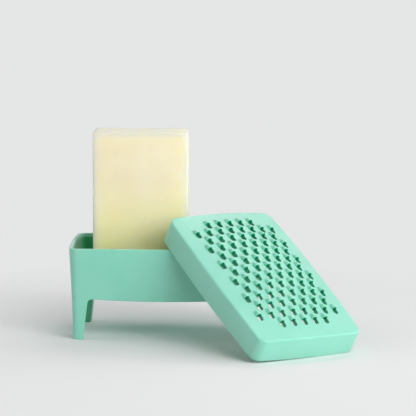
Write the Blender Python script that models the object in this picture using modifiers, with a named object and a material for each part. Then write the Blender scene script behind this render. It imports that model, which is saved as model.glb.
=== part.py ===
"""Soap dish: a tray on four moulded legs, a grater lid leaning on it, and a bar of soap standing in it.

Run it with blender --background --python part.py, or from Blender's text editor. Lengths are metres,
+Z is up, and the whole set stands on the plane z = 0 with its box centred on the Z axis.
"""

import math

import bmesh
import bpy
from mathutils import Matrix, Vector

# Plan outline, shared by the tray's rim and the lid
PLAN_LENGTH = 0.120
PLAN_WIDTH = 0.078
BOW_LONG = 0.0016
BOW_SHORT = 0.0013
CORNER_RADIUS = 0.0052

# Tray
TRAY_HEIGHT = 0.0570
TRAY_WALL = 0.0022
TRAY_FLOOR = 0.0022
DRAFT = math.radians(2.8)
RIM_CHAMFER = 0.0004
BELLY_HEIGHT = 0.0244
BELLY_SAG_LONG = 0.0021
BELLY_SAG_SHORT = 0.0010
BELLY_SAG_MIDDLE = 0.0008

# Legs, as wide as deep
LEG_DRAFT = math.radians(1.6)
FOOT_WIDTH = 0.0065
LEG_TOP_WIDTH = 0.0097
LEG_FILLET = 0.0030
LEG_EDGE_CHAMFER = 0.0012

# Lid
LID_EDGE_HEIGHT = 0.0149
LID_WALL = 0.0021
LID_PLATE = 0.0027
LID_EDGE_ROUND = 0.0010
LID_CROWN_LONG = 0.0006
LID_CROWN_SHORT = 0.0010
LID_CROWN_MIDDLE = 0.0051

# Grater teeth: a raised hood with a slot before its mouth
TOOTH_ROWS = (5, 8, 7, 8, 7, 8, 7, 8, 7, 8, 7, 8, 5)
PATTERN_HIGH_ROOM = 0.0123
PATTERN_LOW_ROOM = 0.0141
PATTERN_SIDE_ROOM = 0.01118
HOOD_LENGTH = 0.0045
HOOD_HALF_WIDTH = 0.0019
HOOD_HEIGHT = 0.0019
HOOD_LIP = 0.00040
SLOT_LENGTH = 0.0040

# Soap
SOAP_WIDTH = 0.0592
SOAP_THICKNESS = 0.0330
SOAP_HEIGHT = 0.1000
SOAP_EDGE = 0.0010
SOAP_LEFT_ROOM = 0.0106
SOAP_FRONT_ROOM = 0.0200

# Lean of the lid: its length runs down along the heading, and the tilt is found from what it rests on
LEAN_HEADING = math.radians(-54.5)
LEAN_ROLL = math.radians(-1.25)
LEAN_SOAP_ROOM = 0.0040
LEAN_SOAP_PLACE = -0.0154

# Room left where two pieces touch
TOUCH_GAP = 0.0003

# Facets
SIDE_STEPS_LONG = 8
SIDE_STEPS_SHORT = 6
CORNER_STEPS = 4
GRID_CELLS_LONG = 10
GRID_CELLS_SHORT = 8
ARCH_STEPS = 6
TIP_STEPS = 2
FILLET_STEPS = 4
RIM_SAMPLES = 40

# Share of the slot's width that stays flat at its round tip
TIP_FLAT = 0.12

# How far cutters reach past what they cut, and how far the slot's full height starts past the mouth
CUT_MARGIN = 0.0100
MOUTH_STEP = 0.0001

MINT = (0.24, 0.65, 0.50, 1.0)
MINT_LID = (0.25, 0.66, 0.51, 1.0)
CREAM = (0.84, 0.80, 0.58, 1.0)


def clear_scene():
    """Remove every object that the file holds."""
    for obj in list(bpy.data.objects):
        bpy.data.objects.remove(obj, do_unlink=True)


def new_collection(name):
    collection = bpy.data.collections.new(name)
    bpy.context.scene.collection.children.link(collection)
    return collection


def new_object(name, bm, collection):
    """Turn a bmesh into an object of the collection, with its faces pointing out."""
    bmesh.ops.recalc_face_normals(bm, faces=bm.faces)
    mesh = bpy.data.meshes.new(name)
    bm.to_mesh(mesh)
    bm.free()
    obj = bpy.data.objects.new(name, mesh)
    collection.objects.link(obj)
    return obj


def make_cutter(obj):
    obj.hide_render = True
    obj.display_type = "WIRE"
    return obj


def boolean(obj, other, operation):
    """Add an exact Boolean with a cutter, which is then kept as a wire."""
    make_cutter(other)
    modifier = obj.modifiers.new(other.name, "BOOLEAN")
    modifier.operation = operation
    modifier.solver = "EXACT"
    modifier.object = other


def hang_cutters(piece, cutters):
    """Let the cutters that shaped a piece move with it."""
    for cutter in cutters.objects:
        if cutter.parent is None:
            cutter.parent = piece


def material(name, colour, roughness, subsurface=0.0):
    """A Principled material with one colour and roughness."""
    mat = bpy.data.materials.new(name)
    mat.use_nodes = True
    shader = mat.node_tree.nodes["Principled BSDF"]
    shader.inputs["Base Color"].default_value = colour
    shader.inputs["Roughness"].default_value = roughness
    shader.inputs["Metallic"].default_value = 0.0
    shader.inputs["Subsurface Weight"].default_value = subsurface
    mat.diffuse_color = colour
    return mat


def rounded_rectangle(half_x, half_y, radius):
    """Points of a rounded rectangle, anticlockwise from the middle of the +X side."""
    centre_x = half_x - radius
    centre_y = half_y - radius
    points = []
    for index, (sx, sy) in enumerate(((1, 1), (-1, 1), (-1, -1), (1, -1))):
        for step in range(CORNER_STEPS + 1):
            angle = math.radians(90.0 * (index + step / CORNER_STEPS))
            points.append((sx * centre_x + radius * math.cos(angle), sy * centre_y + radius * math.sin(angle)))
        steps = SIDE_STEPS_LONG if index % 2 == 0 else SIDE_STEPS_SHORT
        for step in range(1, steps):
            along = 1.0 - 2.0 * step / steps
            if index % 2 == 0:
                points.append((sx * centre_x * along, sy * half_y))
            else:
                points.append((sx * half_x, sy * centre_y * along))
    return points


def outline(inset):
    """The plan outline drawn in by inset: a rounded rectangle whose four sides bow outwards."""
    half_x = PLAN_LENGTH / 2 - inset
    half_y = PLAN_WIDTH / 2 - inset
    radius = max(CORNER_RADIUS - inset, CORNER_RADIUS / 4)
    points = []
    for x, y in rounded_rectangle(half_x, half_y, radius):
        bowed_x = x * (1 - BOW_SHORT / half_x * (y / half_y) ** 2)
        bowed_y = y * (1 - BOW_LONG / half_y * (x / half_x) ** 2)
        points.append((bowed_x, bowed_y))
    return points


def loft(name, sections, collection):
    """A closed solid through sections of equal point counts, each a list of (x, y, z)."""
    bm = bmesh.new()
    ring = [bm.verts.new(point) for point in sections[0]]
    bm.faces.new(ring)
    edges = [bm.edges.get((ring[i], ring[(i + 1) % len(ring)])) for i in range(len(ring))]
    for section in sections[1:]:
        grown = bmesh.ops.extrude_edge_only(bm, edges=edges)["geom"]
        new_edges = [item for item in grown if isinstance(item, bmesh.types.BMEdge)]
        new_verts = {vert for edge in new_edges for vert in edge.verts}
        for vert in ring:
            partner = [edge.other_vert(vert) for edge in vert.link_edges if edge.other_vert(vert) in new_verts]
            partner[0].co = section[ring.index(vert)]
        ring = [
            next(edge.other_vert(vert) for edge in vert.link_edges if edge.other_vert(vert) in new_verts)
            for vert in ring
        ]
        edges = [bm.edges.get((ring[i], ring[(i + 1) % len(ring)])) for i in range(len(ring))]
    bm.faces.new(ring)
    return new_object(name, bm, collection)


def outline_loft(name, levels, collection):
    """A solid whose plan is the outline, from (inset, z) levels, bottom to top."""
    return loft(name, [[(x, y, z) for x, y in outline(inset)] for inset, z in levels], collection)


def draft_inset(z):
    """How far the tray's drafted outside is drawn in at height z: less steeply along the legs."""
    tub = (TRAY_HEIGHT - max(z, BELLY_HEIGHT)) * math.tan(DRAFT)
    leg = max(BELLY_HEIGHT - z, 0.0) * math.tan(LEG_DRAFT)
    return tub + leg


def crown(x, y, along_long, along_short, middle):
    """Height of a pillow over the plan's corners, from its rise along each side and in the middle."""
    u = 1 - min(abs(x) / (PLAN_LENGTH / 2), 1) ** 2
    v = 1 - min(abs(y) / (PLAN_WIDTH / 2), 1) ** 2
    return along_long * u + along_short * v + middle * u * v


def belly(x, y):
    """Height of the tray's underside, which is BELLY_HEIGHT at the middle of a long side."""
    full = BELLY_SAG_SHORT + BELLY_SAG_MIDDLE
    lowest = BELLY_HEIGHT - full
    drop = crown(x, y, BELLY_SAG_LONG, BELLY_SAG_SHORT, BELLY_SAG_MIDDLE)
    return lowest + BELLY_SAG_LONG + full - drop


def lid_top(x, y):
    """Height of the lid's outside over its open rim."""
    return LID_EDGE_HEIGHT + crown(x, y, LID_CROWN_LONG, LID_CROWN_SHORT, LID_CROWN_MIDDLE)


def surface_block(name, surface, flat_z, collection):
    """A block between a curved surface z(x, y) and a flat level, wider than the plan all round."""
    bm = bmesh.new()
    bmesh.ops.create_grid(bm, x_segments=GRID_CELLS_LONG, y_segments=GRID_CELLS_SHORT, size=0.5)
    for vert in bm.verts:
        vert.co.x *= PLAN_LENGTH + 2 * LID_WALL
        vert.co.y *= PLAN_WIDTH + 2 * LID_WALL
    curved = list(bm.verts)
    grown = bmesh.ops.extrude_face_region(bm, geom=list(bm.faces), use_keep_orig=True)["geom"]
    for vert in curved:
        vert.co.z = surface(vert.co.x, vert.co.y)
    for item in grown:
        if isinstance(item, bmesh.types.BMVert):
            item.co.z = flat_z
    bmesh.ops.triangulate(bm, faces=[face for face in bm.faces if len(face.verts) > 3])
    return new_object(name, bm, collection)


def low_block(name, collection):
    """A plain block from z = 0 down past every cut, wider than the plan all round."""
    size = Vector((PLAN_LENGTH + 2 * CUT_MARGIN, PLAN_WIDTH + 2 * CUT_MARGIN, 2 * CUT_MARGIN))
    bm = bmesh.new()
    bmesh.ops.create_cube(bm, size=1.0)
    bmesh.ops.scale(bm, vec=size, verts=bm.verts)
    bmesh.ops.translate(bm, vec=(0, 0, -size.z / 2), verts=bm.verts)
    return new_object(name, bm, collection)


def leg_width(z):
    """Width of a leg at height z: a straight taper that flares into a fillet under the belly."""
    fillet_top = belly(PLAN_LENGTH / 2 - LEG_TOP_WIDTH, PLAN_WIDTH / 2)
    fillet_start = fillet_top - LEG_FILLET
    taper = (LEG_TOP_WIDTH - FOOT_WIDTH) * min(max(z, 0.0), fillet_start) / fillet_start
    rise = min(max(z - fillet_start, 0.0), LEG_FILLET)
    flare = LEG_FILLET - math.sqrt(LEG_FILLET ** 2 - rise ** 2)
    return FOOT_WIDTH + taper + flare


def leg_block(name, sign_x, sign_y, collection):
    """The room that one leg keeps: from its two inner faces out past the tray's corner."""
    fillet_top = belly(PLAN_LENGTH / 2 - LEG_TOP_WIDTH, PLAN_WIDTH / 2)
    levels = [-2 * CUT_MARGIN, 0.0]
    for step in range(FILLET_STEPS + 1):
        angle = math.radians(90.0 * step / FILLET_STEPS)
        levels.append(fillet_top - LEG_FILLET * (1 - math.sin(angle)))
    levels.append(fillet_top + CUT_MARGIN)
    far_x = sign_x * (PLAN_LENGTH / 2 + CUT_MARGIN)
    far_y = sign_y * (PLAN_WIDTH / 2 + CUT_MARGIN)
    sections = []
    for z in levels:
        near_x = sign_x * (PLAN_LENGTH / 2 - draft_inset(z) - leg_width(z))
        near_y = sign_y * (PLAN_WIDTH / 2 - draft_inset(z) - leg_width(z))
        cut_x = near_x + sign_x * LEG_EDGE_CHAMFER
        cut_y = near_y + sign_y * LEG_EDGE_CHAMFER
        corners = ((cut_x, near_y), (far_x, near_y), (far_x, far_y), (near_x, far_y), (near_x, cut_y))
        sections.append([(x, y, z) for x, y in corners])
    return loft(name, sections, collection)


def build_tray(parts, cutters):
    """One moulding: a drafted tub with a pillow floor, on legs that carry its corners down."""
    tray = outline_loft(
        "dish_tray",
        [
            (draft_inset(0.0), 0.0),
            (draft_inset(BELLY_HEIGHT), BELLY_HEIGHT),
            (draft_inset(TRAY_HEIGHT - RIM_CHAMFER), TRAY_HEIGHT - RIM_CHAMFER),
            (RIM_CHAMFER, TRAY_HEIGHT),
        ],
        parts,
    )
    inside = outline_loft(
        "tray_inside",
        [
            (TRAY_WALL + draft_inset(0.0), 0.0),
            (TRAY_WALL + draft_inset(BELLY_HEIGHT), BELLY_HEIGHT),
            (TRAY_WALL + draft_inset(TRAY_HEIGHT - RIM_CHAMFER), TRAY_HEIGHT - RIM_CHAMFER),
            (TRAY_WALL - RIM_CHAMFER, TRAY_HEIGHT),
            (TRAY_WALL - RIM_CHAMFER, TRAY_HEIGHT + CUT_MARGIN),
        ],
        cutters,
    )
    over_floor = surface_block(
        "over_floor", lambda x, y: belly(x, y) + TRAY_FLOOR, TRAY_HEIGHT + 2 * CUT_MARGIN, cutters
    )
    boolean(inside, over_floor, "INTERSECT")
    under_belly = surface_block("under_belly", belly, -CUT_MARGIN, cutters)
    for sign_x in (-1, 1):
        for sign_y in (-1, 1):
            side = "left" if sign_x < 0 else "right"
            depth = "front" if sign_y < 0 else "back"
            block = leg_block("leg_room_" + depth + "_" + side, sign_x, sign_y, cutters)
            boolean(under_belly, block, "DIFFERENCE")
    boolean(tray, inside, "DIFFERENCE")
    boolean(tray, under_belly, "DIFFERENCE")
    hang_cutters(tray, cutters)
    tray.data.materials.append(material("tray_plastic", MINT, 0.42))


def tooth_places():
    """A frame on the lid's outside for each tooth: its origin at the hood's mouth, +X towards the slot."""
    first = -PLAN_LENGTH / 2 + PATTERN_HIGH_ROOM + (HOOD_LENGTH - SLOT_LENGTH) / 2
    row_pitch = (PLAN_LENGTH - PATTERN_HIGH_ROOM - PATTERN_LOW_ROOM) / (len(TOOTH_ROWS) - 1)
    column_pitch = (PLAN_WIDTH - 2 * PATTERN_SIDE_ROOM) / (max(TOOTH_ROWS) - 1)
    step = HOOD_LENGTH / 10
    frames = []
    for row, count in enumerate(TOOTH_ROWS):
        for column in range(count):
            x = first + row * row_pitch
            y = (column - (count - 1) / 2) * column_pitch
            slope_x = (lid_top(x + step, y) - lid_top(x - step, y)) / (2 * step)
            slope_y = (lid_top(x, y + step) - lid_top(x, y - step)) / (2 * step)
            along = Vector((1, 0, slope_x)).normalized()
            normal = along.cross(Vector((0, 1, slope_y))).normalized()
            across = normal.cross(along)
            frame = Matrix((along, across, normal)).transposed().to_4x4()
            frame.translation = Vector((x, y, lid_top(x, y)))
            frames.append(frame)
    return frames


def arch(x, half_width, top, height, steps, foot_z=None):
    """A section across a tooth: half an ellipse whose top is at z = top, on straight legs if asked."""
    points = []
    for step in range(steps + 1):
        angle = math.pi * step / steps
        points.append((x, half_width * math.cos(angle), top - height + height * math.sin(angle)))
    if foot_z is not None:
        points.append((x, -half_width, foot_z))
        points.append((x, half_width, foot_z))
    return points


def hood_sections():
    """The hood's outside: a half cylinder that sinks into the plate towards its back."""
    return [
        arch(-HOOD_LENGTH, HOOD_HALF_WIDTH, 0.0, HOOD_HEIGHT, ARCH_STEPS),
        arch(0.0, HOOD_HALF_WIDTH, HOOD_HEIGHT, HOOD_HEIGHT, ARCH_STEPS),
    ]


def slot_sections():
    """What is cut away: the hood's hollow, open below, and the slot with a round tip before it."""
    half_width = HOOD_HALF_WIDTH - HOOD_LIP
    hollow_height = HOOD_HEIGHT - HOOD_LIP
    hollow_back = HOOD_LENGTH - 2 * HOOD_LIP
    back_top = hollow_height - hollow_back * HOOD_HEIGHT / HOOD_LENGTH
    foot_z = -(LID_PLATE + HOOD_HEIGHT)
    clear_z = HOOD_HEIGHT + HOOD_LIP
    steps = ARCH_STEPS - 2
    sections = [
        arch(-hollow_back, half_width, back_top, hollow_height, steps, foot_z),
        arch(MOUTH_STEP, half_width, hollow_height, hollow_height, steps, foot_z),
        arch(2 * MOUTH_STEP, half_width, clear_z, 0.0, steps, foot_z),
    ]
    for step in range(TIP_STEPS + 1):
        angle = math.radians(90.0 * step / TIP_STEPS)
        narrow = max(math.cos(angle), TIP_FLAT)
        x = SLOT_LENGTH - half_width + half_width * math.sin(angle)
        sections.append(arch(x, half_width * narrow, clear_z, 0.0, steps, foot_z))
    return sections


def repeated(name, sections, frames, collection):
    """One object with the same loft at every frame."""
    single = loft(name + "_one", sections, collection)
    bm = bmesh.new()
    for frame in frames:
        copy = single.data.copy()
        copy.transform(frame)
        bm.from_mesh(copy)
        bpy.data.meshes.remove(copy)
    bpy.data.objects.remove(single, do_unlink=True)
    return new_object(name, bm, collection)


def build_lid(parts, cutters):
    """One moulding: a shallow shell with a pillow top that carries the grater teeth, open below."""
    highest = lid_top(0.0, 0.0)
    lid = outline_loft("grater_lid", [(0.0, -CUT_MARGIN), (0.0, highest + CUT_MARGIN)], parts)
    under_top = surface_block("under_lid_top", lid_top, -2 * CUT_MARGIN, cutters)
    boolean(lid, under_top, "INTERSECT")
    rounding = lid.modifiers.new("top_edge", "BEVEL")
    rounding.width = LID_EDGE_ROUND
    rounding.segments = 1
    rounding.limit_method = "ANGLE"
    rounding.angle_limit = math.radians(50.0)
    under_rim = low_block("under_lid_rim", cutters)
    inside = outline_loft("lid_inside", [(LID_WALL, -CUT_MARGIN / 2), (LID_WALL, highest + CUT_MARGIN)], cutters)
    under_plate = surface_block("under_plate", lambda x, y: lid_top(x, y) - LID_PLATE, -CUT_MARGIN, cutters)
    boolean(inside, under_plate, "INTERSECT")
    frames = tooth_places()
    hoods = repeated("hoods", hood_sections(), frames, cutters)
    slots = repeated("slots", slot_sections(), frames, cutters)
    boolean(lid, under_rim, "DIFFERENCE")
    boolean(lid, inside, "DIFFERENCE")
    boolean(lid, hoods, "UNION")
    boolean(lid, slots, "DIFFERENCE")
    hang_cutters(lid, cutters)
    lid.data.materials.append(material("lid_plastic", MINT_LID, 0.42))
    lid.matrix_world = lean_matrix(resting_tilt())


def soap_box():
    """Lowest corner and size of the soap, which stands on the tray's floor."""
    floor_inset = TRAY_WALL + draft_inset(BELLY_HEIGHT + TRAY_FLOOR)
    left = -(PLAN_LENGTH / 2 - floor_inset) + SOAP_LEFT_ROOM
    front = -(PLAN_WIDTH / 2 - floor_inset) + SOAP_FRONT_ROOM
    corners = [(x, y) for x in (left, left + SOAP_WIDTH) for y in (front, front + SOAP_THICKNESS)]
    bottom = max(belly(x, y) for x, y in corners) + TRAY_FLOOR + TOUCH_GAP
    return Vector((left, front, bottom)), Vector((SOAP_WIDTH, SOAP_THICKNESS, SOAP_HEIGHT))


def build_soap(parts):
    """A plain bar with slightly worn edges, standing on end."""
    low, size = soap_box()
    bm = bmesh.new()
    bmesh.ops.create_cube(bm, size=1.0)
    bmesh.ops.scale(bm, vec=size, verts=bm.verts)
    bmesh.ops.translate(bm, vec=(0, 0, size.z / 2), verts=bm.verts)
    soap = new_object("soap_bar", bm, parts)
    rounding = soap.modifiers.new("worn_edges", "BEVEL")
    rounding.width = SOAP_EDGE
    rounding.segments = 3
    soap.location = (low.x + size.x / 2, low.y + size.y / 2, low.z)
    soap.data.materials.append(material("soap", CREAM, 0.5, 0.3))


def lean_matrix(tilt):
    """The lid's place for one tilt: its low rim on the table and its high end just before the soap."""
    turn = (
        Matrix.Rotation(LEAN_HEADING, 4, "Z")
        @ Matrix.Rotation(tilt, 4, "Y")
        @ Matrix.Rotation(LEAN_ROLL, 4, "X")
    )
    low, size = soap_box()
    soap_edge = Vector((low.x + size.x, low.y, 0))
    end_x = -(PLAN_LENGTH / 2 - BOW_SHORT * (LEAN_SOAP_PLACE / (PLAN_WIDTH / 2)) ** 2) - LEAN_SOAP_ROOM
    meets = turn @ Vector((end_x, LEAN_SOAP_PLACE, 0))
    lowest = min((turn @ Vector((x, y, 0))).z for x, y in outline(0.0))
    turn.translation = Vector((soap_edge.x - meets.x, soap_edge.y - meets.y, -lowest))
    return turn


def rim_points():
    """Points close together along the outer and the inner edge of the tray's rim."""
    points = []
    for inset in (0.0, TRAY_WALL):
        ring = outline(inset)
        for index, (x, y) in enumerate(ring):
            next_x, next_y = ring[(index + 1) % len(ring)]
            for step in range(RIM_SAMPLES):
                share = step / RIM_SAMPLES
                points.append(Vector((x + (next_x - x) * share, y + (next_y - y) * share, TRAY_HEIGHT)))
    return points


def lid_clearance(tilt, points):
    """Least room, along the lid's own height, between the tray's rim and the lid that leans on it."""
    to_lid = lean_matrix(tilt).inverted()
    least = CUT_MARGIN
    for point in points:
        x, y, z = to_lid @ point
        reach_x = PLAN_LENGTH / 2 - BOW_SHORT * (y / (PLAN_WIDTH / 2)) ** 2 - abs(x)
        reach_y = PLAN_WIDTH / 2 - BOW_LONG * (x / (PLAN_LENGTH / 2)) ** 2 - abs(y)
        if min(reach_x, reach_y) < 0:
            continue
        ceiling = lid_top(x, y) - LID_PLATE if min(reach_x, reach_y) > LID_WALL else 0.0
        least = min(least, ceiling - z)
    return least


def resting_tilt():
    """The tilt at which the lid just rests on the tray's rim, by halving."""
    points = rim_points()
    low = math.radians(5.0)
    high = math.radians(80.0)
    for _ in range(30):
        middle = (low + high) / 2
        if lid_clearance(middle, points) < TOUCH_GAP:
            low = middle
        else:
            high = middle
    return high


def centre_on_box(parts):
    """Hang the set on one empty, so that its box is centred on the Z axis."""
    bpy.context.view_layer.update()
    depsgraph = bpy.context.evaluated_depsgraph_get()
    corners = []
    for obj in parts.objects:
        evaluated = obj.evaluated_get(depsgraph)
        corners += [evaluated.matrix_world @ vert.co for vert in evaluated.data.vertices]
    centre_x = (min(c.x for c in corners) + max(c.x for c in corners)) / 2
    centre_y = (min(c.y for c in corners) + max(c.y for c in corners)) / 2
    place = bpy.data.objects.new("set_place", None)
    bpy.context.scene.collection.objects.link(place)
    for obj in parts.objects:
        obj.parent = place
    place.location = (-centre_x, -centre_y, 0.0)


def main():
    clear_scene()
    parts = new_collection("grater_soap_dish")
    cutters = new_collection("cutters")
    build_tray(parts, cutters)
    build_soap(parts)
    build_lid(parts, cutters)
    centre_on_box(parts)


main()
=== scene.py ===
"""Looks of a soap dish with a grater lid: fine plastic mouldings and a worn bar of soap on the CAD frame.

Lengths are metres. The tray, the lid and the soap each stand for the CAD node of the same place.
"""

import math

import bmesh
import bpy
from mathutils import Matrix, Vector, noise


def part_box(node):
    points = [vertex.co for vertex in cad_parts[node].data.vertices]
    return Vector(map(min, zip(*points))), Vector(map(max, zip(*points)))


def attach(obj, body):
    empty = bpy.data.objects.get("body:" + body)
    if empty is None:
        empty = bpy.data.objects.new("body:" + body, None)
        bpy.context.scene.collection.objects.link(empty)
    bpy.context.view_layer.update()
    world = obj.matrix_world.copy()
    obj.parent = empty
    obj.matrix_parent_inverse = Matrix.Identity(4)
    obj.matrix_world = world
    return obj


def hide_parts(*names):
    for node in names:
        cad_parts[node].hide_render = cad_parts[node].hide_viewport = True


bl_info = {
    "name": "Grater soap dish looks",
    "version": (1, 0, 0),
    "blender": (4, 5, 0),
    "location": "View3D > Sidebar > Soap dish",
    "description": "Builds the fine tray, grater lid, soap and studio of a soap dish",
    "category": "Object",
}

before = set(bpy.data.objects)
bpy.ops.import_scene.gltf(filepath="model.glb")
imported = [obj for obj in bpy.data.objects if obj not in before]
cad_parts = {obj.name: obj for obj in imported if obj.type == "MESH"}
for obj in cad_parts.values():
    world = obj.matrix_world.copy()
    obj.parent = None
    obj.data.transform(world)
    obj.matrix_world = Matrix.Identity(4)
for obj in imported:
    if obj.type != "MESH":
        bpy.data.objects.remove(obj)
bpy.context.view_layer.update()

# Plan outline shared by tray and lid
PLAN_LENGTH = 0.120
PLAN_WIDTH = 0.078
BOW_LONG = 0.0016
BOW_SHORT = 0.0013
CORNER_RADIUS = 0.0052
CORNER_LEAST = CORNER_RADIUS / 4
# Mesh lines across each corner, as shares of its radius
CORNER_SHARES = (0.0, 0.25, 0.5, 0.75, 1.0)

# Tray. The shares are the mesh lines across a leg, the heights those under its fillet. The bowl's corners
# keep a least radius, its floor's corner takes so many belly roundings, and the painted shade inside it
# reaches so many wall rings up from its floor's corner.
TRAY_HEIGHT = 0.0570
TRAY_WALL = 0.0022
TRAY_FLOOR = 0.0022
DRAFT = math.radians(2.8)
LEG_DRAFT = math.radians(1.6)
BELLY_HEIGHT = 0.0244
BELLY_SAG = (0.0021, 0.0010, 0.0008)
FOOT_WIDTH = 0.0065
LEG_TOP_WIDTH = 0.0097
LEG_FILLET = 0.0030
LEG_SHARES = (0.42, 0.76, 1.0)
LEG_FILLET_STEPS = 3
LEG_HEIGHTS = (0.0120, 0.0009, 0.0)
BOWL_CORNER_LEAST = 0.0024
BOWL_CORNER_ROUNDS = 1.5
BOWL_SHADE_RINGS = 3
TRAY_CELLS = (28, 22)
TRAY_SMOOTHING = 2

# Lid
LID_EDGE_HEIGHT = 0.0149
LID_WALL = 0.0021
LID_PLATE = 0.0028
LID_CROWN = (0.0006, 0.0010, 0.0051)
LID_RIM_ROUND = 0.00025
LID_INNER_ROUND = 0.0012
LID_ROUND_STEPS = 3
LID_SHARP_ANGLE = math.radians(50.0)
LID_SLOPE_STEP = 0.0002
# Where the middle of a quarter round lies from its two sides, as a share of its radius
MIDWAY = 0.29
LID_TURN = (math.radians(-1.25), math.radians(31.8156), math.radians(-54.5))
LID_PLACE = Vector((0.02759, -0.011166, 0.031804))

# Grater teeth, in the lid's own plane: x from the hood's mouth towards the slot, y across.
# The lines are the mesh lines before and after each mouth and across each strip; SLOT_SIDES are the two
# of them along a slot, HOLLOW_LINE is where a hood's hollow starts, the first TIP_LINES of a row also
# close the slot of the row before, and FLANKS are the strips of faces on a hood's two sides, which take
# painted shade.
TOOTH_ROWS = (5, 8, 7, 8, 7, 8, 7, 8, 7, 8, 7, 8, 5)
PATTERN_START = -0.04745
ROW_PITCH = 0.0078
STRIP_PITCH = 0.00397429
STRIPS = 15
HOOD_LENGTH = 0.0045
HOOD_HALF_WIDTH = 0.0019
HOOD_FULLNESS = 0.6
HOOD_BACK_POWER = 2.6
HOOD_LIP = 0.00038
SLOT_LENGTH = 0.0040
SLOT_HALF_WIDTH = 0.00158
SLOT_TIP_RADIUS = 0.0015
SLOT_EDGE_DROP = 0.00008
LINES_BEFORE = (-0.0045, -0.0041, -0.0036, -0.0030, -0.0024, -0.00176, -0.0017, -0.0010, -0.0004, 0.0)
LINES_AFTER = (0.00002, 0.00035, 0.0012, 0.0023)
LINES_ACROSS = (
    -0.0019, -0.00183, -0.00170, -0.00158, -0.0008, 0.0, 0.0008, 0.00158, 0.00170, 0.00183, 0.0019,
)
SLOT_SIDES = (3, 7)
HOLLOW_LINE = 6
TIP_LINES = 5
FLANKS = (0, 1, 2, 3, 6, 7, 8, 9)

# Soap bar
SOAP_CUTS = 27
SOAP_BOX_ANGLE = 1.0
SOAP_EDGE_STEPS = 4
SOAP_SMOOTHING = 1
BROAD_WAVES = 45.0
FINE_WAVES = 260.0
FINE_SHIFT = Vector((7.0, 3.0, 5.0))
# Wear of the faces and of the edges, as shares of the wear: the even part and the waves
FACE_WEAR = (0.35, 0.35)
EDGE_WEAR = (0.8, 0.9)
EDGE_REACH = 0.0022
# Each tone's reach from an edge, from a narrow side or from the top, and its strength there. The tone by the
# edges and narrow sides is partly wear, partly painted light and shade; the lighter top is painted light; the
# narrow dark tone at the edges is painted shade.
# Partly wear, partly painted light and shade: a paler, less yellow but slightly darker tone by the edges and
# narrow sides.
WEAR_AND_LIGHT_EDGE = (0.0026, 0.9)
WEAR_AND_LIGHT_SIDE = (0.0008, 0.3)
# Painted light: the top face is lighter.
PAINTED_TOP_LIGHT = (0.0006, 1.0)
# Painted shade: a narrow darker tone right at the edges, dimming their highlight.
PAINTED_EDGE_SHADE = (0.0011, 0.9)

# Plastic: factors on its colour, the colours of the painted shade in its recesses and how much of it the
# legs' inner sides and the hoods' flanks take.
# A noise is its scale, detail and roughness; a bump is its strength and distance.
PLASTIC_DEEPER = (0.90, 0.965, 0.95)
PLASTIC_LIGHTER = (1.08, 1.02, 1.03)
# Painted shade: the dark green of the bowl's inside, from just under the rim down over its floor.
BOWL_SHADE_COLOUR = (0.0, 0.37, 0.13)
# Painted shade: the dark green of the lid's underside and of the walls of its slots.
SLOT_SHADE_COLOUR = (0.0, 0.50, 0.27)
# Painted shade on the legs' inner sides, as a share of the bowl's dark green.
LEG_PAINTED_SHADE = 0.6
# Painted shade on the hoods' two flanks, as a share of the slots' dark green.
HOOD_PAINTED_SHADE = 0.35
DRIFT_NOISE = (38.0, 4.0)
GLOSS_NOISE = (420.0, 5.0, 0.6)
GLOSS_RANGE = 0.06
GRAIN_NOISE = (5200.0, 2.0)
GRAIN_BUMP = (0.18, 0.00002)
WAVES_NOISE = (150.0, 2.0)
WAVES_BUMP = (0.10, 0.00010)
PLASTIC_SURFACE = {
    "IOR": 1.49,
    "Specular IOR Level": 0.7,
    "Sheen Weight": 0.34,
    "Sheen Roughness": 0.5,
    "Subsurface Weight": 0.2,
    "Subsurface Radius": (0.3, 1.0, 0.7),
    "Subsurface Scale": 0.002,
}

# Soap material: factors on its colour, the painted light at its foot and its tones by name, then noises and
# bumps as above
SOAP_DEEPER = (0.975, 0.96, 0.90)
SOAP_LIGHTER = (1.02, 1.025, 1.08)
# Painted light: a yellower, lighter glow towards the soap's foot, full up to the first height and gone at the
# second.
PAINTED_FOOT_GLOW = (0.92, 0.87, 0.43)
FOOT_GLOW_HEIGHTS = (0.045, 0.098)
# Tones: partly wear with painted light and shade by the edges and sides, painted light on the top, painted
# shade right at the edges.
SOAP_TONES = (("wear_and_painted_light", (0.74, 0.73, 0.67)), ("cut", (0.92, 0.885, 0.74)), ("edge", (0.65, 0.62, 0.52)))
CLOUD_NOISE = (55.0, 5.0, 0.55)
SKIN_NOISE = (300.0, 4.0)
SKIN_ROUGHNESS = (0.52, 0.68)
PITS_NOISE = (1500.0, 4.0, 0.6)
PITS_BUMP = (0.22, 0.00006)
DENTS_NOISE = (120.0, 3.0)
DENTS_BUMP = (0.18, 0.00030)
SOAP_SURFACE = {
    "IOR": 1.47,
    "Specular IOR Level": 0.35,
    "Subsurface Weight": 0.85,
    "Subsurface Radius": (1.0, 0.85, 0.4),
    "Subsurface Scale": 0.013,
}

# Camera of the photograph, fitted to the dish's edges
CAMERA_PLACE = Vector((0.04753, -1.57948, 0.28192))
CAMERA_YAW = math.radians(1.822)
CAMERA_PITCH = math.radians(7.166)
CAMERA_ROLL = math.radians(0.164)
CAMERA_LENS = 224.80
CAMERA_SENSOR = 36.0
CAMERA_CLIP = (0.05, 50.0)

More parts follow.
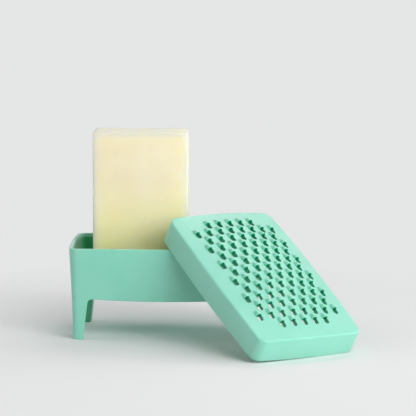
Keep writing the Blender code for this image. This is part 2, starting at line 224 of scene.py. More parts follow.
# Soft boxes: name, degrees to the right of the camera's side, degrees over the floor, watts
LAMPS = (
    ("key_lamp", 46.0, 18.5, 12.0),
    ("high_lamp", 22.0, 36.0, 8.0),
    ("right_lamp", 84.0, 12.0, 7.6),
    ("left_lamp", -90.0, 35.0, 2.8),
    ("back_lamp", 165.0, 54.0, 4.4),
)
LAMP_AIM = Vector((0.0, 0.0, 0.04))
LAMP_DISTANCE = 1.6
LAMP_SIZE = 0.8
SKY_RISE = 0.25

# Floor: its half size, and the distances from the dish over which it fades into the backdrop
FLOOR_HALF = 12.0
FLOOR_CELLS = 8
FLOOR_FADE = (0.095, 0.34)
FLOOR_SURFACE = {"Roughness": 0.6, "Specular IOR Level": 0.0}


class DishSizes(bpy.types.PropertyGroup):
    """Roundings and other fine sizes that the looks add to the CAD shapes."""

    rim_round: bpy.props.FloatProperty(
        name="Tray rim rounding", description="Radius along the tray's rim", default=0.0009, min=0.0001,
        max=0.001, unit="LENGTH",
    )
    belly_round: bpy.props.FloatProperty(
        name="Belly rounding", description="Radius where the wall turns into the underside", default=0.0013,
        min=0.0003, max=0.003, unit="LENGTH",
    )
    lid_edge_round: bpy.props.FloatProperty(
        name="Lid edge rounding", description="Radius along the lid's top edge", default=0.0008, min=0.0003,
        max=0.002, unit="LENGTH",
    )
    hood_height: bpy.props.FloatProperty(
        name="Hood height", description="How far a grater hood stands over the lid", default=0.0019,
        min=0.0010, max=0.0024, unit="LENGTH",
    )
    soap_edge: bpy.props.FloatProperty(
        name="Soap edge", description="Radius of the soap's worn edges", default=0.0007, min=0.0003,
        max=0.004, unit="LENGTH",
    )
    soap_wear: bpy.props.FloatProperty(
        name="Soap wear", description="How uneven the soap's faces and edges are", default=0.00018, min=0.0,
        max=0.001, unit="LENGTH",
    )


class DishColours(bpy.types.PropertyGroup):
    """Colours and light that a user would change."""

    plastic: bpy.props.FloatVectorProperty(
        name="Plastic", description="Mint colour of the tray and the lid", default=(0.235, 0.645, 0.50),
        size=3, min=0.0, max=1.0, subtype="COLOR",
    )
    plastic_roughness: bpy.props.FloatProperty(
        name="Plastic roughness", description="Mean roughness of the moulded plastic", default=0.42, min=0.0,
        max=1.0, subtype="FACTOR",
    )
    soap: bpy.props.FloatVectorProperty(
        name="Soap", description="Cream colour of the soap", default=(0.85, 0.785, 0.57), size=3, min=0.0,
        max=1.0, subtype="COLOR",
    )
    floor: bpy.props.FloatVectorProperty(
        name="Floor", description="Pale colour of the floor", default=(0.86, 0.86, 0.865), size=3, min=0.0,
        max=1.0, subtype="COLOR",
    )
    backdrop: bpy.props.FloatVectorProperty(
        name="Backdrop", description="Plain colour that the floor fades into", default=(0.785, 0.79, 0.79),
        size=3, min=0.0, max=1.0, subtype="COLOR",
    )
    lamp_level: bpy.props.FloatProperty(
        name="Lamps", description="Factor on the power of every soft box", default=1.0, min=0.0, max=5.0,
    )
    sky_level: bpy.props.FloatProperty(
        name="Sky", description="Level of the even light from above", default=0.34, min=0.0, max=2.0,
    )


def corner_rounded(x, y, half_x, half_y, radius):
    """Draw a point of a sharp rectangle onto the same rectangle with rounded corners."""
    over_x = abs(x) - (half_x - radius)
    over_y = abs(y) - (half_y - radius)
    if over_x <= 0 or over_y <= 0:
        return x, y
    share = max(over_x, over_y) / math.hypot(over_x, over_y)
    round_x = half_x - radius + over_x * share
    round_y = half_y - radius + over_y * share
    return math.copysign(round_x, x), math.copysign(round_y, y)


def corner_radius(inset, least=CORNER_LEAST):
    """Radius of the outline's corners where it is drawn in by inset."""
    return max(CORNER_RADIUS - inset, least)


def crown(x, y, rises):
    """Height of a pillow over the plan's corners, from its rises along each side and in the middle."""
    u = 1 - min(abs(x) / (PLAN_LENGTH / 2), 1) ** 2
    v = 1 - min(abs(y) / (PLAN_WIDTH / 2), 1) ** 2
    return rises[0] * u + rises[1] * v + rises[2] * u * v


def counted_grid(columns, rows):
    """A flat bmesh grid whose vertices stand at whole numbers (column, row, 0)."""
    bm = bmesh.new()
    bmesh.ops.create_grid(bm, x_segments=columns, y_segments=rows, size=0.5)
    bmesh.ops.scale(bm, vec=(columns, rows, 1), verts=bm.verts)
    bmesh.ops.translate(bm, vec=(columns / 2, rows / 2, 0), verts=bm.verts)
    return bm


def count_of(vert):
    """The whole numbers (column, row, level) at which a vertex of a counted grid stands."""
    return round(vert.co.x), round(vert.co.y), round(vert.co.z)


def second_sheet(bm, columns, rows, levels):
    """Extrude the grid to a second sheet at z = levels, with a ring at every level round the outer border."""
    grown = bmesh.ops.extrude_face_region(bm, geom=list(bm.faces), use_keep_orig=True)["geom"]
    new_verts = [item for item in grown if isinstance(item, bmesh.types.BMVert)]
    bmesh.ops.translate(bm, vec=(0, 0, levels), verts=new_verts)
    uprights = []
    for edge in bm.edges:
        first, last = (count_of(vert) for vert in edge.verts)
        if first[2] != last[2] and (first[0] in (0, columns) or first[1] in (0, rows)):
            uprights.append(edge)
    bmesh.ops.subdivide_edges(bm, edges=uprights, cuts=levels - 1)


def mark_painted_shade(bm, depth_of):
    """Store how much painted shade each face takes, from the columns, rows and levels of its vertices'
    counts.
    """
    layer = bm.faces.layers.float.new("painted_shade")
    for face in bm.faces:
        columns, rows, levels = (set(values) for values in zip(*(count_of(vert) for vert in face.verts)))
        face[layer] = depth_of(columns, rows, levels)


def finished(name, bm, matrix, body, node, material):
    """Make the bmesh a smooth object at the origin, with its place in its mesh, riding on its body."""
    bmesh.ops.transform(bm, matrix=matrix, verts=bm.verts)
    bmesh.ops.recalc_face_normals(bm, faces=bm.faces)
    for face in bm.faces:
        face.smooth = True
    mesh = bpy.data.meshes.new(name)
    bm.to_mesh(mesh)
    bm.free()
    obj = bpy.data.objects.new(name, mesh)
    bpy.context.scene.collection.objects.link(obj)
    mesh.materials.append(material)
    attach(obj, body)
    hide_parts(node)
    return obj


# Tray


def draft_inset(z):
    """How far the tray's outside is drawn in at height z."""
    tub = (TRAY_HEIGHT - max(z, BELLY_HEIGHT)) * math.tan(DRAFT)
    leg = max(BELLY_HEIGHT - z, 0.0) * math.tan(LEG_DRAFT)
    return tub + leg


def belly(x, y):
    """Height of the tray's underside."""
    lowest = BELLY_HEIGHT - BELLY_SAG[1] - BELLY_SAG[2]
    return lowest + sum(BELLY_SAG) - crown(x, y, BELLY_SAG)


def leg_width(z):
    """Width of a leg at height z, without the fillet at its top."""
    fillet_start = belly(PLAN_LENGTH / 2 - LEG_TOP_WIDTH, PLAN_WIDTH / 2) - LEG_FILLET
    return FOOT_WIDTH + (LEG_TOP_WIDTH - FOOT_WIDTH) * min(max(z, 0.0) / fillet_start, 1.0)


def tray_line(index, cells, half, inset, leg, radius):
    """Where grid line index of a side lies: corner lines, leg lines, then even steps between the legs."""
    if index > cells / 2:
        return -tray_line(cells - index, cells, half, inset, leg, radius)
    from_end = len(CORNER_SHARES)
    if index < from_end:
        return -(half - inset) + radius * CORNER_SHARES[index]
    if index < from_end + len(LEG_SHARES):
        return -(half - inset) + radius + (leg - radius) * LEG_SHARES[index - from_end]
    leg_line = from_end + len(LEG_SHARES) - 1
    share = (index - leg_line) / (cells - 2 * leg_line)
    return -(half - inset - leg) * (1 - 2 * share)


def tray_plan(column, row, inset, leg, radius):
    """Plan position of a tray vertex on the outline drawn in by inset."""
    half_x = PLAN_LENGTH / 2 - inset
    half_y = PLAN_WIDTH / 2 - inset
    x = tray_line(column, TRAY_CELLS[0], PLAN_LENGTH / 2, inset, leg, radius)
    y = tray_line(row, TRAY_CELLS[1], PLAN_WIDTH / 2, inset, leg, radius)
    x, y = corner_rounded(x, y, half_x, half_y, radius)
    return x * (1 - BOW_SHORT / half_x * (y / half_y) ** 2), y * (1 - BOW_LONG / half_y * (x / half_x) ** 2)


def wall_rings(rim_round, belly_round):
    """(inset past the draft, height over the floor or None, height) of each ring from belly edge to floor."""
    inner = TRAY_WALL
    middle_low = BELLY_HEIGHT + (TRAY_HEIGHT - BELLY_HEIGHT) / 3
    middle_high = BELLY_HEIGHT + 2 * (TRAY_HEIGHT - BELLY_HEIGHT) / 3
    return [
        (0.0, belly_round, None),
        (0.0, None, middle_low),
        (0.0, None, middle_high),
        (0.0, None, TRAY_HEIGHT - rim_round),
        (0.0, None, TRAY_HEIGHT),
        (rim_round, None, TRAY_HEIGHT),
        (inner - rim_round, None, TRAY_HEIGHT),
        (inner, None, TRAY_HEIGHT),
        (inner, None, TRAY_HEIGHT - rim_round),
        (inner, None, middle_high),
        (inner, None, middle_low),
        (inner, TRAY_FLOOR + BOWL_CORNER_ROUNDS * belly_round, None),
    ]


def tray_point(count, rings):
    """Place of the tray vertex at (column, row, level) in the tray's own frame."""
    column, row, level = count
    leg = LEG_TOP_WIDTH + LEG_FILLET
    if 0 < level <= len(rings):
        extra, over, height = rings[level - 1]
    elif level > len(rings):
        extra, over, height = TRAY_WALL, TRAY_FLOOR, None
    else:
        extra, over, height = 0.0, 0.0, None
    if -LEG_FILLET_STEPS <= level < 0:
        angle = math.radians(90.0 * -level / LEG_FILLET_STEPS)
        over = -LEG_FILLET * (1 - math.cos(angle))
        leg = LEG_TOP_WIDTH + LEG_FILLET * (1 - math.sin(angle))
    elif level < -LEG_FILLET_STEPS:
        height = LEG_HEIGHTS[-level - LEG_FILLET_STEPS - 1]
        leg = leg_width(height)
    inset = extra + draft_inset(BELLY_HEIGHT if height is None else height)
    least = BOWL_CORNER_LEAST if extra > 0 else CORNER_LEAST
    x, y = tray_plan(column, row, inset, leg, corner_radius(inset, least))
    if height is None:
        height = belly(x, y) + over
        inset = extra + draft_inset(height)
        x, y = tray_plan(column, row, inset, leg, corner_radius(inset, least))
    return Vector((x, y, height))


def tray_mesh(sizes):
    """The tub as a counted grid with a second sheet, and its four legs extruded out of the underside."""
    columns, rows = TRAY_CELLS
    rings = wall_rings(sizes.rim_round, sizes.belly_round)
    bm = counted_grid(columns, rows)
    second_sheet(bm, columns, rows, len(rings) + 1)
    leg_lines = len(CORNER_SHARES) + len(LEG_SHARES) - 1
    patch = []
    for face in bm.faces:
        middle = face.calc_center_median()
        in_columns = middle.x < leg_lines or middle.x > columns - leg_lines
        in_rows = middle.y < leg_lines or middle.y > rows - leg_lines
        if abs(middle.z) < 0.1 and in_columns and in_rows:
            patch.append(face)
    for _ in range(LEG_FILLET_STEPS + len(LEG_HEIGHTS)):
        grown = bmesh.ops.extrude_face_region(bm, geom=patch)["geom"]
        left = [face for face in patch if face.is_valid]
        if left:
            bmesh.ops.delete(bm, geom=left, context="FACES")
        patch = [item for item in grown if isinstance(item, bmesh.types.BMFace)]
        new_verts = [item for item in grown if isinstance(item, bmesh.types.BMVert)]
        bmesh.ops.translate(bm, vec=(0, 0, -1), verts=new_verts)

    # Painted shade: the bowl's inside takes the full dark green, the legs' inner sides a share of it.
    def tray_painted_shade(on_columns, on_rows, levels):
        if min(levels) >= len(rings) - BOWL_SHADE_RINGS:
            return 1.0
        inward = on_columns < {leg_lines, columns - leg_lines} or on_rows < {leg_lines, rows - leg_lines}
        return LEG_PAINTED_SHADE if inward and min(levels) < 0 else 0.0

    mark_painted_shade(bm, tray_painted_shade)
    for vert in bm.verts:
        vert.co = tray_point(count_of(vert), rings)
    return bm


class SOAPDISH_OT_tray(bpy.types.Operator):
    """Build the tray with rounded edges on the CAD tray's place"""

    bl_idname = "soapdish.tray"
    bl_label = "Tray"

    def execute(self, context):
        low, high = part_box("dish_tray")
        place = Matrix.Translation(((low.x + high.x) / 2, (low.y + high.y) / 2, 0.0))
        bm = tray_mesh(context.scene.dish_sizes)
        # The third colour is the painted shade of the bowl's inside and the legs' inner sides.
        material = mint_plastic("tray_mint_plastic", context.scene.dish_colours, BOWL_SHADE_COLOUR)
        tray = finished("tray_moulding", bm, place, "tray", "dish_tray", material)
        smooth = tray.modifiers.new("soft_edges", "SUBSURF")
        smooth.levels = TRAY_SMOOTHING
        smooth.render_levels = TRAY_SMOOTHING
        return {"FINISHED"}


# Lid


def lid_top(x, y):
    """Height of the lid's outside over its open rim."""
    return LID_EDGE_HEIGHT + crown(x, y, LID_CROWN)


def lid_normal(x, y):
    """Unit normal of the lid's outside."""
    step = LID_SLOPE_STEP
    slope_x = (lid_top(x + step, y) - lid_top(x - step, y)) / (2 * step)
    slope_y = (lid_top(x, y + step) - lid_top(x, y - step)) / (2 * step)
    return Vector((-slope_x, -slope_y, 1)).normalized()


def has_tooth(row, strip):
    """Whether the grater has a tooth in this row and strip."""
    if not 0 <= row < len(TOOTH_ROWS):
        return False
    count = TOOTH_ROWS[row]
    return (strip + count) % 2 == 0 and abs(strip - STRIPS // 2) <= count - 1


def lid_columns():
    """(x, row, step in the row) for each pattern line along the lid, high end first."""
    lines = []
    for row in range(len(TOOTH_ROWS)):
        mouth = PATTERN_START + row * ROW_PITCH
        lines += [(mouth + x, row, step) for step, x in enumerate(LINES_BEFORE + LINES_AFTER)]
    end = PATTERN_START + len(TOOTH_ROWS) * ROW_PITCH
    lines += [(end + x, len(TOOTH_ROWS), step) for step, x in enumerate(LINES_BEFORE[:TIP_LINES])]
    return lines


def lid_rows():
    """(y, strip, step in the strip) for each pattern line across the lid."""
    lines = []
    for strip in range(STRIPS):
        middle = (strip - STRIPS // 2) * STRIP_PITCH
        lines += [(middle + y, strip, step) for step, y in enumerate(LINES_ACROSS)]
    return lines


def lid_line(index, lines, half, inset, radius):
    """(position, row or strip, step) of a grid line; edge lines have no row."""
    edge = len(CORNER_SHARES)
    if index < edge:
        return -(half - inset) + radius * CORNER_SHARES[index], None, None
    if index >= edge + len(lines):
        return (half - inset) - radius * CORNER_SHARES[2 * edge + len(lines) - 1 - index], None, None
    return lines[index - edge]


def dome(x, y, half_width):
    """Height share of a hood: 1 over the middle of its mouth, 0 outside its rounded plan."""
    inside = 1 - (y / half_width) ** 2 - (-x / HOOD_LENGTH) ** HOOD_BACK_POWER
    return max(inside, 0.0) ** HOOD_FULLNESS


def hood_rise(x, y, height):
    """How far the hood stands over the plate at (x, y) from its mouth."""
    return height * dome(x, y, HOOD_HALF_WIDTH)


def hollow_rise(x, y, height):
    """Height of the hood's hollow over the plate's outside at (x, y) from its mouth."""
    return (height - HOOD_LIP) * dome(x, y, SLOT_HALF_WIDTH)


def border_point(x, y, half_x, half_y, radius, at_end, at_side):
    """Bow a point of the lid's border; a pattern line stays straight where it runs out over the border."""
    bow_x, bow_y = x / half_x, y / half_y
    if at_end and at_side:
        x, y = corner_rounded(x, y, half_x, half_y, radius)
        bow_x, bow_y = x / half_x, y / half_y
    elif at_end:
        bow_y = y / (1 - BOW_LONG / half_y) / half_y
    else:
        bow_x = x / (1 - BOW_SHORT / half_x) / half_x
    if at_end:
        x *= 1 - BOW_SHORT / half_x * bow_y ** 2
    if at_side:
        y *= 1 - BOW_LONG / half_y * bow_x ** 2
    return x, y


def tip_point(x, across, mouth):
    """Draw a point on the first lines of a row onto the rounded end of the slot that starts at mouth."""
    last_line = ROW_PITCH + LINES_BEFORE[TIP_LINES - 1]
    drawn_in = (SLOT_LENGTH - LINES_AFTER[-1]) / (last_line - LINES_AFTER[-1])
    tip = LINES_AFTER[-1] + (x - mouth - LINES_AFTER[-1]) * drawn_in
    start = SLOT_LENGTH - 2 * SLOT_HALF_WIDTH
    x, y = corner_rounded(tip - start, across, SLOT_LENGTH - start, SLOT_HALF_WIDTH, SLOT_TIP_RADIUS)
    return mouth + start + x, y


def lid_sheet_point(column, row, inset, under, height):
    """(x, y) on the lid's outside and the rise of its sheet there, or of its underside, with the teeth."""
    columns, rows = lid_columns(), lid_rows()
    radius = corner_radius(inset)
    half_x = PLAN_LENGTH / 2 - inset
    half_y = PLAN_WIDTH / 2 - inset
    x, tooth_row, step_x = lid_line(column, columns, PLAN_LENGTH / 2, inset, radius)
    y, strip, step_y = lid_line(row, rows, PLAN_WIDTH / 2, inset, radius)
    rise = -LID_PLATE if under else 0.0
    if tooth_row is None or strip is None:
        x, y = border_point(x, y, half_x, half_y, radius, tooth_row is None, strip is None)
        return x, y, rise
    across = LINES_ACROSS[step_y]
    middle = y - across
    slot_wide = SLOT_SIDES[0] <= step_y <= SLOT_SIDES[1]
    if step_x < len(LINES_BEFORE) and has_tooth(tooth_row, strip):
        along = LINES_BEFORE[step_x]
        if not under:
            rise = hood_rise(along, across, height)
        elif step_x >= HOLLOW_LINE and slot_wide:
            rise = hollow_rise(along, across, height)
    in_slot = len(LINES_BEFORE) <= step_x and has_tooth(tooth_row, strip)
    in_tip = step_x < TIP_LINES and has_tooth(tooth_row - 1, strip)
    if slot_wide and (in_slot or in_tip):
        if not under:
            rise = -SLOT_EDGE_DROP
        if in_tip:
            x, off_middle = tip_point(x, across, PATTERN_START + (tooth_row - 1) * ROW_PITCH)
            y = middle + off_middle
    return x, y, rise


def lid_rings(edge_round):
    """(inset, height over the rim, height under the outside) of each ring from top edge to inner corner."""
    rings = []
    for step in range(1, LID_ROUND_STEPS + 1):
        angle = math.radians(90.0 / LID_ROUND_STEPS * step)
        rings.append((edge_round * (1 - math.sin(angle)), None, edge_round * (1 - math.cos(angle))))
    small = LID_RIM_ROUND
    rings += [
        (0.0, LID_EDGE_HEIGHT / 2, None),
        (0.0, small, None),
        (MIDWAY * small, MIDWAY * small, None),
        (small, 0.0, None),
        (LID_WALL - small, 0.0, None),
        (LID_WALL - MIDWAY * small, MIDWAY * small, None),
        (LID_WALL, small, None),
        (LID_WALL, None, LID_PLATE + LID_INNER_ROUND),
        (LID_WALL + MIDWAY * LID_INNER_ROUND, None, LID_PLATE + MIDWAY * LID_INNER_ROUND),
    ]
    return rings


def lid_mesh(sizes):
    """The lid as one counted grid: slots cut out, a second sheet below, and rings down and up its wall."""
    columns = len(lid_columns()) + 2 * len(CORNER_SHARES) - 1
    rows = len(lid_rows()) + 2 * len(CORNER_SHARES) - 1
    bm = counted_grid(columns, rows)
    edge = len(CORNER_SHARES)
    per_row = len(LINES_BEFORE) + len(LINES_AFTER)
    per_strip = len(LINES_ACROSS)
    cut = []
    for face in bm.faces:
        middle = face.calc_center_median()
        column = int(middle.x) - edge
        row = int(middle.y) - edge
        if column < 0 or row < 0:
            continue
        strip, across = divmod(row, per_strip)
        tooth_row, along = divmod(column - len(LINES_BEFORE) + 1, per_row)
        in_slot = SLOT_SIDES[0] <= across < SLOT_SIDES[1] and along < len(LINES_AFTER) + TIP_LINES
        if in_slot and has_tooth(tooth_row, strip):
            cut.append(face)
    bmesh.ops.delete(bm, geom=cut, context="FACES")
    rings = lid_rings(sizes.lid_edge_round)
    levels = len(rings) + 1
    second_sheet(bm, columns, rows, levels)

    # Painted shade: the lid's underside and the slot walls take the full dark green, the hoods' flanks a
    # share of it.
    def lid_painted_shade(on_columns, on_rows, on_levels):
        if max(on_levels) == levels and min(on_levels) in (0, levels):
            return 1.0
        strip, across = divmod(min(on_rows) - edge, per_strip)
        row_before, along = divmod(min(on_columns) - edge - len(LINES_BEFORE) + 1, per_row)
        flank = across in FLANKS and along > len(LINES_AFTER) and has_tooth(row_before + 1, strip)
        return HOOD_PAINTED_SHADE if flank and max(on_levels) == 0 else 0.0

    mark_painted_shade(bm, lid_painted_shade)
    height = sizes.hood_height
    for vert in bm.verts:
        column, row, level = count_of(vert)
        if level == 0:
            x, y, rise = lid_sheet_point(column, row, sizes.lid_edge_round, False, height)
        elif level == levels:
            x, y, rise = lid_sheet_point(column, row, LID_WALL + LID_INNER_ROUND, True, height)
        else:
            inset, over, below = rings[level - 1]
            x, y, _ = lid_sheet_point(column, row, inset, False, height)
            if over is None:
                vert.co = (x, y, lid_top(x, y) - below)
            else:
                vert.co = (x, y, over)
            continue
        vert.co = Vector((x, y, lid_top(x, y))) + lid_normal(x, y) * rise
    return bm


class SOAPDISH_OT_lid(bpy.types.Operator):
    """Build the grater lid with all its teeth on the CAD lid's place"""

    bl_idname = "soapdish.lid"
    bl_label = "Grater lid"

    def execute(self, context):
        turn = Matrix.Rotation(LID_TURN[2], 4, "Z") @ Matrix.Rotation(LID_TURN[1], 4, "Y")
        turn = Matrix.Translation(LID_PLACE) @ turn @ Matrix.Rotation(LID_TURN[0], 4, "X")
        bm = lid_mesh(context.scene.dish_sizes)
        # The third colour is the painted shade of the lid's underside, slot walls and hood flanks.
        material = mint_plastic("lid_mint_plastic", context.scene.dish_colours, SLOT_SHADE_COLOUR)
        lid = finished("grater_lid_moulding", bm, turn, "lid", "grater_lid", material)
        lid.data.set_sharp_from_angle(angle=LID_SHARP_ANGLE)
        return {"FINISHED"}


# Soap


def faded(distance, reach, strength):
    """A share that falls off smoothly from its strength with the distance."""
    return strength * math.exp(-(distance / reach) ** 2)


def soap_mesh(sizes):
    """A bar with rounded, slightly uneven edges on the CAD bar's place, with the shares of its tones on its
    vertices: wear with painted light and shade by the edges, painted light on the top, painted shade right at
    the edges.
    """
    low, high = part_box("soap_bar")
    size = high - low
    bm = bmesh.new()
    bmesh.ops.create_cube(bm, size=1.0)
    bmesh.ops.subdivide_edges(bm, edges=bm.edges, cuts=SOAP_CUTS, use_grid_fill=True)
    bmesh.ops.scale(bm, vec=size, verts=bm.verts)
    box_edges = [edge for edge in bm.edges if edge.calc_face_angle(0.0) > SOAP_BOX_ANGLE]
    bmesh.ops.bevel(
        bm, geom=box_edges, offset=sizes.soap_edge, offset_type="OFFSET", segments=SOAP_EDGE_STEPS,
        profile=0.5, affect="EDGES", material=-1,
    )
    bm.normal_update()
    wear_and_painted_light = bm.verts.layers.float.new("wear_and_painted_light")
    cut = bm.verts.layers.float.new("cut")
    edge = bm.verts.layers.float.new("edge")
    for vert in bm.verts:
        broad = noise.noise(vert.co * BROAD_WAVES)
        fine = noise.noise(vert.co * FINE_WAVES + FINE_SHIFT)
        from_edge = sorted(half - abs(at) for half, at in zip(size / 2, vert.co))[1]
        from_top = size.z / 2 - vert.co.z
        from_side = size.x / 2 - abs(vert.co.x)
        # Partly wear, partly painted light and shade by the edges and narrow sides.
        vert[wear_and_painted_light] = max(faded(from_edge, *WEAR_AND_LIGHT_EDGE), faded(from_side, *WEAR_AND_LIGHT_SIDE))
        # Painted light on the top face.
        vert[cut] = faded(from_top, *PAINTED_TOP_LIGHT)
        # Painted shade right at the edges.
        vert[edge] = faded(from_edge, *PAINTED_EDGE_SHADE)
        face_wear = FACE_WEAR[0] + FACE_WEAR[1] * broad
        edge_wear = faded(from_edge, EDGE_REACH, 1.0) * (EDGE_WEAR[0] + EDGE_WEAR[1] * fine)
        vert.co -= vert.normal * sizes.soap_wear * (face_wear + edge_wear)
    bmesh.ops.translate(bm, vec=(low + high) / 2, verts=bm.verts)
    return bm


class SOAPDISH_OT_soap(bpy.types.Operator):
    """Build the bar of soap with worn edges on the CAD soap's place"""

    bl_idname = "soapdish.soap"
    bl_label = "Soap"

    def execute(self, context):
        bm = soap_mesh(context.scene.dish_sizes)
        material = cream_soap("cream_soap", context.scene.dish_colours)
        soap = finished("soap_block", bm, Matrix.Identity(4), "soap", "soap_bar", material)
        smooth = soap.modifiers.new("soft_edges", "SUBSURF")
        smooth.levels = SOAP_SMOOTHING
        smooth.render_levels = SOAP_SMOOTHING
        return {"FINISHED"}


# Materials


def give(node, values):
    """Set a node's inputs from their names and values."""
    for name, value in values.items():
        node.inputs[name].default_value = value


def new_material(name):
    """A material with its node tree and its shader."""
    material = bpy.data.materials.new(name)
    material.use_nodes = True
    return material, material.node_tree, material.node_tree.nodes["Principled BSDF"]


def scaled(colour, factors):
    """A colour with a factor on each of its parts."""
    return tuple(min(part * factor, 1.0) for part, factor in zip(colour, factors))


def object_noise(tree, scale, detail, roughness=0.5):
    """A noise pattern on the piece's own coordinates; returns its value output."""
    place = tree.nodes.new("ShaderNodeTexCoord")
    pattern = tree.nodes.new("ShaderNodeTexNoise")
    give(pattern, {"Scale": scale, "Detail": detail, "Roughness": roughness})
    tree.links.new(place.outputs["Object"], pattern.inputs["Vector"])
    return pattern.outputs["Fac"]


def ranged(tree, value, low, high, from_low=0.3, from_high=0.7):
    """Map a pattern's value to the range low to high."""
    node = tree.nodes.new("ShaderNodeMapRange")
    give(node, {"From Min": from_low, "From Max": from_high, "To Min": low, "To Max": high})
    tree.links.new(value, node.inputs["Value"])
    return node.outputs["Result"]


def mixed(tree, value, first, second):
    """Mix a colour, or a colour output, with a second colour by a pattern's value."""
    node = tree.nodes.new("ShaderNodeMix")
    node.data_type = "RGBA"
    if isinstance(first, bpy.types.NodeSocket):
        tree.links.new(first, node.inputs["A"])
    else:
        node.inputs["A"].default_value = (*first, 1.0)
    node.inputs["B"].default_value = (*second, 1.0)
    tree.links.new(value, node.inputs["Factor"])
    return node.outputs["Result"]


def bumped(tree, value, strength, distance, under=None):
    """A bump from a pattern's value, over another bump if one is given."""
    node = tree.nodes.new("ShaderNodeBump")
    give(node, {"Strength": strength, "Distance": distance})
    tree.links.new(value, node.inputs["Height"])
    if under is not None:
        tree.links.new(under, node.inputs["Normal"])
    return node.outputs["Normal"]


def stored(tree, name):
    """The output of a value that the mesh stores under a name."""
    node = tree.nodes.new("ShaderNodeAttribute")
    node.attribute_name = name
    return node.outputs["Fac"]


def mint_plastic(name, colours, painted_shade_colour):
    """Satin mint plastic: faint colour drift, painted shade in its recesses, fine grain, uneven gloss."""
    material, tree, shader = new_material(name)
    base = tuple(colours.plastic)
    drift = ranged(tree, object_noise(tree, *DRIFT_NOISE), 0.0, 1.0)
    colour = mixed(tree, drift, scaled(base, PLASTIC_DEEPER), scaled(base, PLASTIC_LIGHTER))
    # Painted shade: each face's stored share mixes in the dark colour of its recesses.
    shaded_colour = mixed(tree, stored(tree, "painted_shade"), colour, painted_shade_colour)
    tree.links.new(shaded_colour, shader.inputs["Base Color"])
    rough = colours.plastic_roughness
    gloss = ranged(tree, object_noise(tree, *GLOSS_NOISE), rough - GLOSS_RANGE, rough + GLOSS_RANGE)
    tree.links.new(gloss, shader.inputs["Roughness"])
    grain = bumped(tree, object_noise(tree, *GRAIN_NOISE), *GRAIN_BUMP)
    waves = bumped(tree, object_noise(tree, *WAVES_NOISE), *WAVES_BUMP, grain)
    tree.links.new(waves, shader.inputs["Normal"])
    give(shader, PLASTIC_SURFACE)
    material.diffuse_color = (*base, 1.0)
    return material


def cream_soap(name, colours):
    """Cream soap: cloudy and translucent, with painted light that turns it yellower and lighter towards its
    foot, and tones by its edges and top that are partly wear, partly painted light and shade.
    """
    material, tree, shader = new_material(name)
    base = tuple(colours.soap)
    cloud = ranged(tree, object_noise(tree, *CLOUD_NOISE), 0.0, 1.0)
    colour = mixed(tree, cloud, scaled(base, SOAP_DEEPER), scaled(base, SOAP_LIGHTER))
    place = tree.nodes.new("ShaderNodeTexCoord")
    parts = tree.nodes.new("ShaderNodeSeparateXYZ")
    tree.links.new(place.outputs["Object"], parts.inputs["Vector"])
    # Painted light: yellower and lighter towards the foot.
    foot_glow = ranged(tree, parts.outputs["Z"], 1.0, 0.0, *FOOT_GLOW_HEIGHTS)
    colour = mixed(tree, foot_glow, colour, PAINTED_FOOT_GLOW)
    # Tones by the edges and on the top: partly wear, partly painted light and shade.
    for wear, tone in SOAP_TONES:
        colour = mixed(tree, stored(tree, wear), colour, tone)
    tree.links.new(colour, shader.inputs["Base Color"])
    skin = ranged(tree, object_noise(tree, *SKIN_NOISE), *SKIN_ROUGHNESS)
    tree.links.new(skin, shader.inputs["Roughness"])
    pits = bumped(tree, object_noise(tree, *PITS_NOISE), *PITS_BUMP)
    dents = bumped(tree, object_noise(tree, *DENTS_NOISE), *DENTS_BUMP, pits)
    tree.links.new(dents, shader.inputs["Normal"])
    give(shader, SOAP_SURFACE)
    material.diffuse_color = (*base, 1.0)
    return material


# Stage


def calculated(tree, operation, first, second):
    """The output of a sum, product or the like of two outputs."""
    node = tree.nodes.new("ShaderNodeMath")
    node.operation = operation
    tree.links.new(first, node.inputs[0])
    tree.links.new(second, node.inputs[1])
    return node.outputs["Value"]


def blended(tree, share, first, second, output):
    """Mix two shaders by a share and send the result to the output node."""
    node = tree.nodes.new("ShaderNodeMixShader")
    tree.links.new(share, node.inputs["Fac"])
    tree.links.new(first, node.inputs[1])
    tree.links.new(second, node.inputs[2])
    tree.links.new(node.outputs["Shader"], output.inputs["Surface"])


def seen_directly(tree):
    """1 for camera, glossy and transmission rays, which see the plain backdrop colour."""
    path = tree.nodes.new("ShaderNodeLightPath")
    either = calculated(tree, "MAXIMUM", path.outputs["Is Camera Ray"], path.outputs["Is Glossy Ray"])
    return calculated(tree, "MAXIMUM", either, path.outputs["Is Transmission Ray"])


def floor_material(colours):
    """Pale floor that takes the shadow near the dish and fades into the plain backdrop colour."""
    material, tree, shader = new_material("pale_floor")
    give(shader, {"Base Color": (*colours.floor, 1.0), **FLOOR_SURFACE})
    glow = tree.nodes.new("ShaderNodeEmission")
    glow.inputs["Color"].default_value = (*colours.backdrop, 1.0)
    place = tree.nodes.new("ShaderNodeTexCoord")
    length = tree.nodes.new("ShaderNodeVectorMath")
    length.operation = "LENGTH"
    tree.links.new(place.outputs["Object"], length.inputs[0])
    far = ranged(tree, length.outputs["Value"], 0.0, 1.0, *FLOOR_FADE)
    share = calculated(tree, "MULTIPLY", far, seen_directly(tree))
    blended(tree, share, shader.outputs["BSDF"], glow.outputs["Emission"], tree.nodes["Material Output"])
    return material


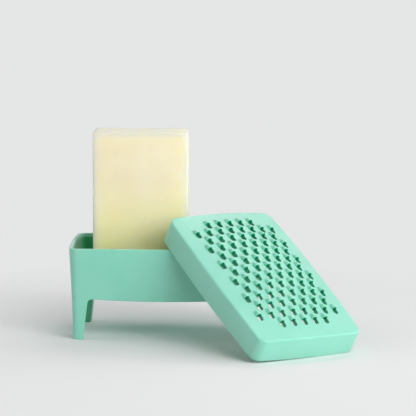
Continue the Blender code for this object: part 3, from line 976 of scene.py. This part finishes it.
def soft_box(name, azimuth, elevation, power):
    """A square area light that faces the dish from the given direction."""
    lamp = bpy.data.lights.new(name, "AREA")
    lamp.shape = "SQUARE"
    lamp.size = LAMP_SIZE
    lamp.energy = power
    turned, raised = math.radians(azimuth), math.radians(elevation)
    flat = math.cos(raised)
    away = Vector((math.sin(turned) * flat, -math.cos(turned) * flat, math.sin(raised)))
    obj = bpy.data.objects.new(name, lamp)
    obj.location = LAMP_AIM + away * LAMP_DISTANCE
    obj.rotation_euler = (-away).to_track_quat("-Z", "Y").to_euler()
    bpy.context.scene.collection.objects.link(obj)


def build_camera():
    """The photograph's camera."""
    ahead_flat = Vector((-math.sin(CAMERA_YAW), math.cos(CAMERA_YAW), 0))
    right = Vector((math.cos(CAMERA_YAW), math.sin(CAMERA_YAW), 0))
    ahead = ahead_flat * math.cos(CAMERA_PITCH) - Vector((0, 0, math.sin(CAMERA_PITCH)))
    up = right.cross(ahead)
    side = right * math.cos(CAMERA_ROLL) + up * math.sin(CAMERA_ROLL)
    above = up * math.cos(CAMERA_ROLL) - right * math.sin(CAMERA_ROLL)
    data = bpy.data.cameras.new("photo_camera")
    data.lens = CAMERA_LENS
    data.sensor_width = CAMERA_SENSOR
    data.clip_start, data.clip_end = CAMERA_CLIP
    camera = bpy.data.objects.new("photo_camera", data)
    turn = Matrix((side, above, -ahead)).transposed().to_4x4()
    camera.matrix_world = Matrix.Translation(CAMERA_PLACE) @ turn
    bpy.context.scene.collection.objects.link(camera)
    bpy.context.scene.camera = camera


def build_world(colours):
    """Even light from above, none near the horizon; the plain backdrop colour where it is seen directly."""
    world = bpy.data.worlds.new("pale_studio")
    bpy.context.scene.world = world
    world.use_nodes = True
    tree = world.node_tree
    sky = tree.nodes["Background"]
    sky.inputs["Color"].default_value = (1.0, 1.0, 1.0, 1.0)
    place = tree.nodes.new("ShaderNodeTexCoord")
    parts = tree.nodes.new("ShaderNodeSeparateXYZ")
    tree.links.new(place.outputs["Generated"], parts.inputs["Vector"])
    level = ranged(tree, parts.outputs["Z"], 0.0, colours.sky_level, 0.0, SKY_RISE)
    tree.links.new(level, sky.inputs["Strength"])
    plain = tree.nodes.new("ShaderNodeBackground")
    plain.inputs["Color"].default_value = (*colours.backdrop, 1.0)
    backgrounds = sky.outputs["Background"], plain.outputs["Background"]
    blended(tree, seen_directly(tree), *backgrounds, tree.nodes["World Output"])


class SOAPDISH_OT_stage(bpy.types.Operator):
    """Build the pale floor, the backdrop, the soft lights and the camera"""

    bl_idname = "soapdish.stage"
    bl_label = "Stage"

    def execute(self, context):
        colours = context.scene.dish_colours
        bm = bmesh.new()
        bmesh.ops.create_grid(bm, x_segments=FLOOR_CELLS, y_segments=FLOOR_CELLS, size=FLOOR_HALF)
        mesh = bpy.data.meshes.new("studio_floor")
        bm.to_mesh(mesh)
        bm.free()
        floor = bpy.data.objects.new("studio_floor", mesh)
        mesh.materials.append(floor_material(colours))
        context.scene.collection.objects.link(floor)
        for name, azimuth, elevation, power in LAMPS:
            soft_box(name, azimuth, elevation, power * colours.lamp_level)
        build_world(colours)
        build_camera()
        context.scene.view_settings.view_transform = "Standard"
        return {"FINISHED"}


class SOAPDISH_PT_panel(bpy.types.Panel):
    """Sizes, colours and build steps of the soap dish"""

    bl_idname = "SOAPDISH_PT_panel"
    bl_label = "Grater soap dish"
    bl_space_type = "VIEW_3D"
    bl_region_type = "UI"
    bl_category = "Soap dish"

    def draw(self, context):
        for group in (context.scene.dish_sizes, context.scene.dish_colours):
            for key in group.__annotations__:
                self.layout.prop(group, key)
        for step in STEPS:
            self.layout.operator(step.bl_idname)


STEPS = (SOAPDISH_OT_tray, SOAPDISH_OT_lid, SOAPDISH_OT_soap, SOAPDISH_OT_stage)
CLASSES = (DishSizes, DishColours, *STEPS, SOAPDISH_PT_panel)


def register():
    for cls in CLASSES:
        bpy.utils.register_class(cls)
    bpy.types.Scene.dish_sizes = bpy.props.PointerProperty(type=DishSizes)
    bpy.types.Scene.dish_colours = bpy.props.PointerProperty(type=DishColours)


def unregister():
    del bpy.types.Scene.dish_colours
    del bpy.types.Scene.dish_sizes
    for cls in reversed(CLASSES):
        bpy.utils.unregister_class(cls)


def main():
    register()
    bpy.ops.soapdish.tray()
    bpy.ops.soapdish.lid()
    bpy.ops.soapdish.soap()
    bpy.ops.soapdish.stage()


if __name__ == "__main__":
    main()
